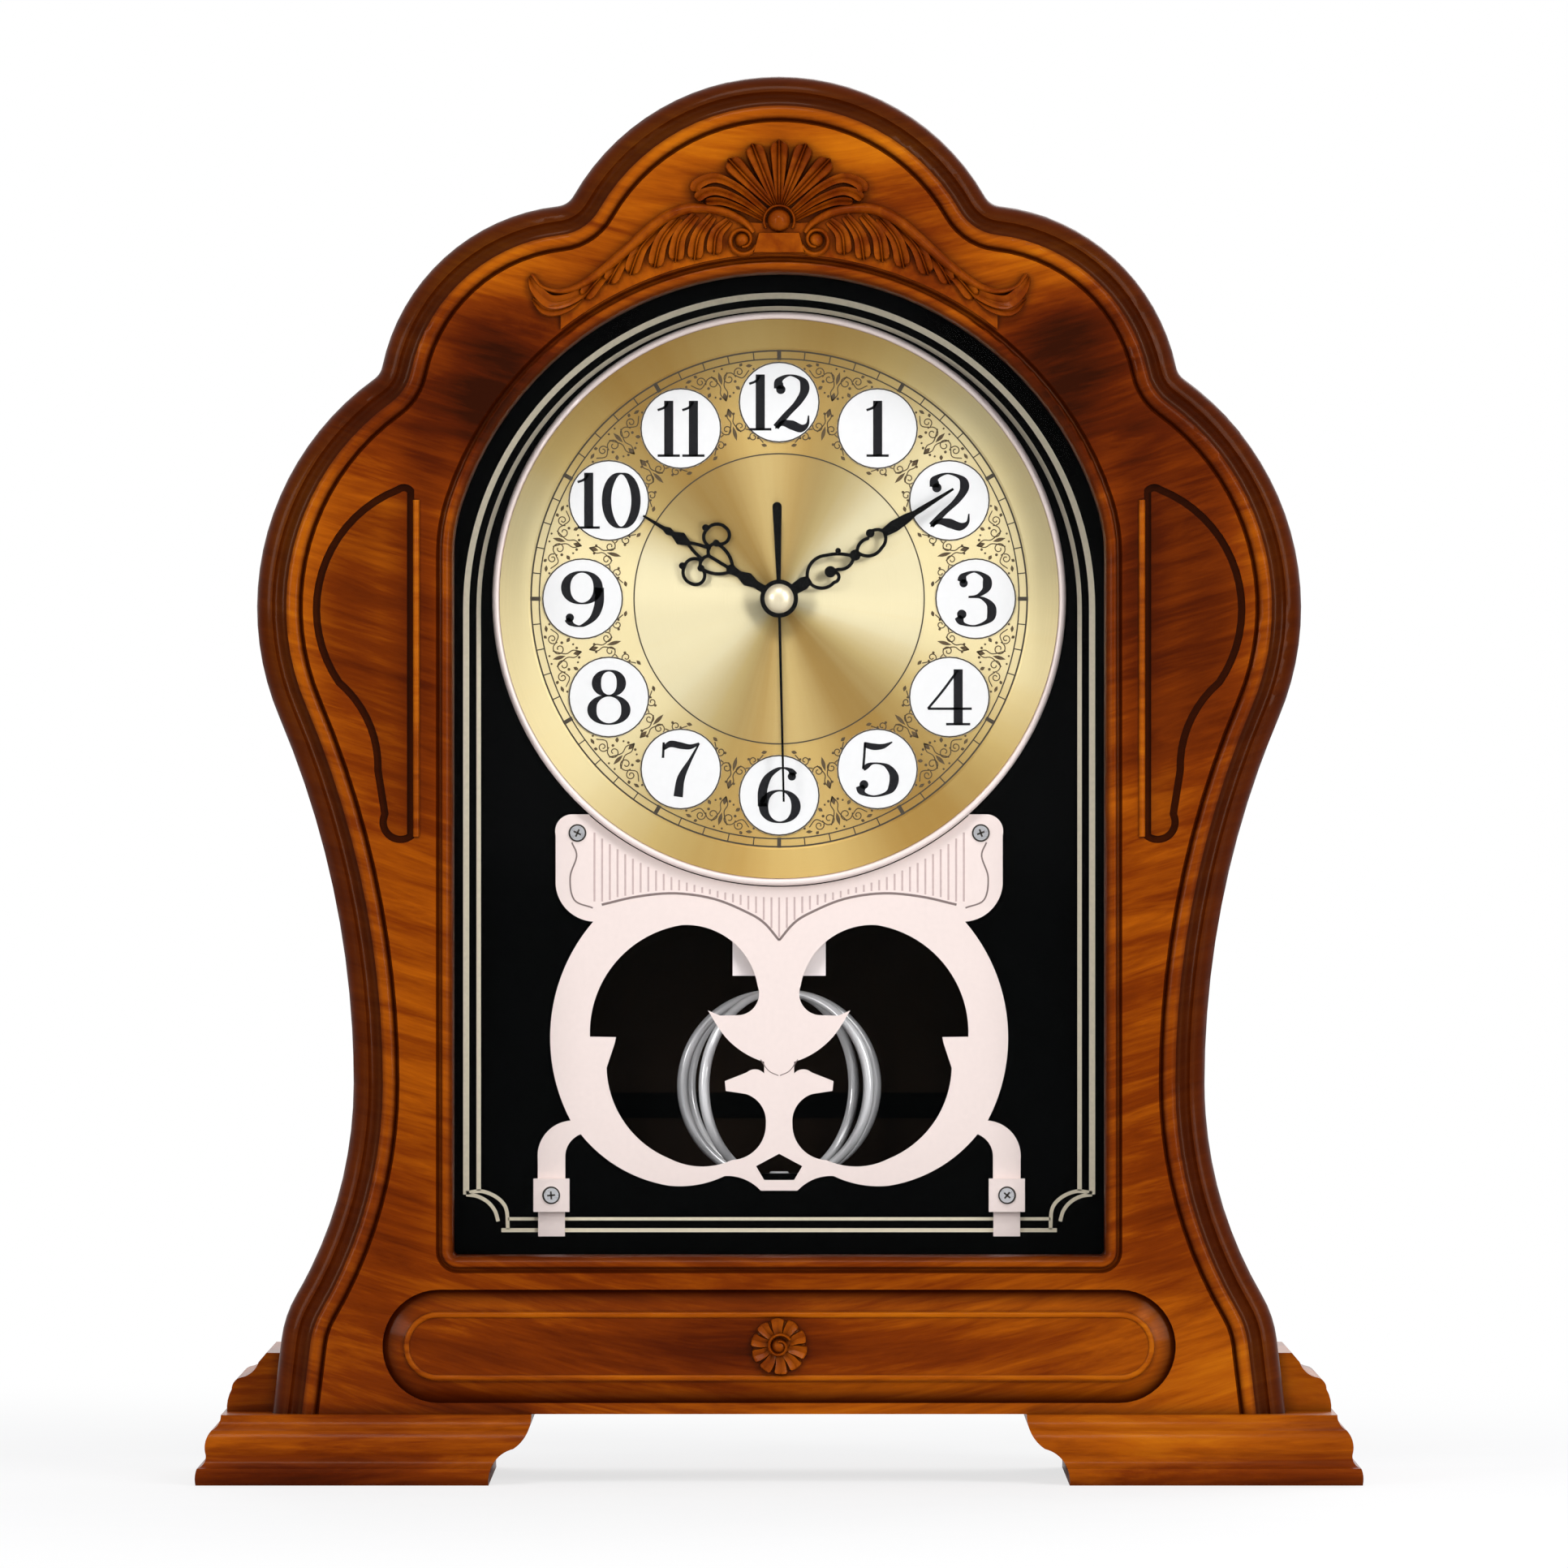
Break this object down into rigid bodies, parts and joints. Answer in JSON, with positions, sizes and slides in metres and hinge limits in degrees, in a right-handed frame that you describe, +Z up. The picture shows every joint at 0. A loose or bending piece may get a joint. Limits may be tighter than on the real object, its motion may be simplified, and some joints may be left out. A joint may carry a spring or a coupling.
{
  "type": "shelf clock",
  "caption": "Scalloped lacquered shelf clock with an arched window, gold dial, three hands, pierced fret and a rotating pendulum behind it; hinged back door.",
  "frame": {"origin": "centre of the clock's footprint, on the surface that it stands on", "axes": "+Z up, +X to the right of someone who looks at the dial, +Y from the dial to the back"},
  "size_m": [0.2856, 0.11, 0.345],
  "materials": {
    "orange_wood": "high gloss lacquer, orange brown in the flat and near black in the hollows",
    "carved_wood": "gloss lacquer, red brown",
    "case_wood": "high gloss lacquer, dark red brown",
    "window_glass": "clear polished",
    "black_board": "deep black lacquer",
    "gold_dial": "spun satin with a clear coat",
    "rose_metal": "satin, pale rose",
    "white_discs": "smooth",
    "small_screws": "polished",
    "wood_screws": "yellow zinc",
    "black_hands": "gloss",
    "gold_cap": "polished",
    "black_plastic": "fine texture",
    "white_gears": "moulded",
    "brass_parts": "satin",
    "motor_steel": "satin",
    "copper_coils": "enamelled wire",
    "circuit": "solder mask",
    "bright_steel": "bright",
    "battery_sleeve": "printed sleeve, left plain",
    "rose_plastic": "smooth moulded",
    "bright_chrome": "mirror",
    "back_wood": "satin lacquer on thin board"
  },
  "bodies": {
    "case": {"front_board": "orange_wood", "crest_carving": "carved_wood", "rosette": "carved_wood", "base_board": "case_wood", "left_foot": "case_wood", "right_foot": "case_wood", "left_side": "case_wood", "right_side": "case_wood", "arch_top": "case_wood", "window_glass": "window_glass", "window_liner": "black_board", "dial_board_screws": "wood_screws", "dial_plate": "gold_dial", "dial_bezel": "rose_metal", "numeral_discs": "white_discs", "fret_plate": "rose_metal", "dial_board": "black_board", "fret_feet": "rose_metal", "fret_screws": "small_screws", "movement_case": "black_plastic", "movement_cover": "black_plastic", "centre_washer": "brass_parts", "centre_nut": "brass_parts", "stator": "motor_steel", "motor_coil": "copper_coils", "circuit_board": "circuit", "quartz_crystal": "bright_steel", "batteries": "battery_sleeve", "battery_contacts": "bright_steel", "drive_housing": "rose_plastic", "drive_lid": "rose_plastic", "pendulum_bush": "brass_parts", "drive_coil": "copper_coils", "drive_screws": "wood_screws", "back_panel": "back_wood", "back_panel_screws": "wood_screws", "panel_hinge_leaves": "brass_parts", "hinge_pins": "brass_parts", "latch_screw": "wood_screws", "foot_screws": "wood_screws"},
    "hour_works": {"hour_wheel": "white_gears", "hour_hand": "black_hands"},
    "minute_works": {"centre_wheel": "white_gears", "minute_hand": "black_hands"},
    "second_works": {"second_wheel": "white_gears", "second_hand": "black_hands", "hand_cap": "gold_cap"},
    "motion_works": {"motion_wheel": "white_gears"},
    "third_works": {"third_wheel": "white_gears"},
    "fifth_works": {"fifth_wheel": "white_gears"},
    "rotor": {"stepper_rotor": "white_gears"},
    "setter": {"setting_knob": "white_gears"},
    "pendulum": {"pendulum_axle": "bright_steel", "pendulum_magnet": "motor_steel", "pendulum_hubs": "bright_chrome", "pendulum_strands": "bright_chrome"},
    "door": {"back_door": "back_wood", "door_hinge_leaves": "brass_parts", "door_pull": "back_wood"},
    "latch": {"door_latch": "brass_parts"}
  },
  "joints": [
    {"name": "minute_spin", "type": "hinge", "parent": "case", "child": "minute_works", "pos_m": [0, 0, 0.2171], "axis": [0, 1, 0], "continuous": true},
    {"name": "hour_spin", "type": "hinge", "parent": "case", "child": "hour_works", "pos_m": [0, 0, 0.2171], "axis": [0, 1, 0], "continuous": true},
    {"name": "second_spin", "type": "hinge", "parent": "case", "child": "second_works", "pos_m": [0, 0, 0.2171], "axis": [0, 1, 0], "continuous": true},
    {"name": "motion_spin", "type": "hinge", "parent": "case", "child": "motion_works", "pos_m": [-0.00658, 0, 0.21471], "axis": [0, 1, 0], "continuous": true},
    {"name": "setting_spin", "type": "hinge", "parent": "case", "child": "setter", "pos_m": [-0.01316, 0, 0.2171], "axis": [0, 1, 0], "continuous": true},
    {"name": "third_spin", "type": "hinge", "parent": "case", "child": "third_works", "pos_m": [-0.00328, 0, 0.22612], "axis": [0, 1, 0], "continuous": true},
    {"name": "fifth_spin", "type": "hinge", "parent": "case", "child": "fifth_works", "pos_m": [0.0094, 0, 0.22052], "axis": [0, 1, 0], "continuous": true},
    {"name": "rotor_spin", "type": "hinge", "parent": "case", "child": "rotor", "pos_m": [0.0134, 0, 0.22745], "axis": [0, 1, 0], "continuous": true},
    {"name": "pendulum_swing", "type": "hinge", "parent": "case", "child": "pendulum", "pos_m": [0, 0.0195, 0.1365], "axis": [0, 0, 1], "range_deg": [-180, 180]},
    {"name": "back_door_swing", "type": "hinge", "parent": "case", "child": "door", "pos_m": [-0.052, 0.0518, 0.169], "axis": [0, 0, 1], "range_deg": [0, 110]},
    {"name": "latch_turn", "type": "hinge", "parent": "case", "child": "latch", "pos_m": [0.058, 0.0515, 0.17], "axis": [0, 1, 0], "range_deg": [0, 90]}
  ],
  "couplings": [
    {"joint": "hour_spin", "follows": "minute_spin", "ratio": 0.083333},
    {"joint": "motion_spin", "follows": "minute_spin", "ratio": -0.33333},
    {"joint": "setting_spin", "follows": "minute_spin", "ratio": 1},
    {"joint": "third_spin", "follows": "minute_spin", "ratio": -8},
    {"joint": "second_spin", "follows": "minute_spin", "ratio": 60},
    {"joint": "fifth_spin", "follows": "minute_spin", "ratio": -360},
    {"joint": "rotor_spin", "follows": "minute_spin", "ratio": 1800}
  ]
}
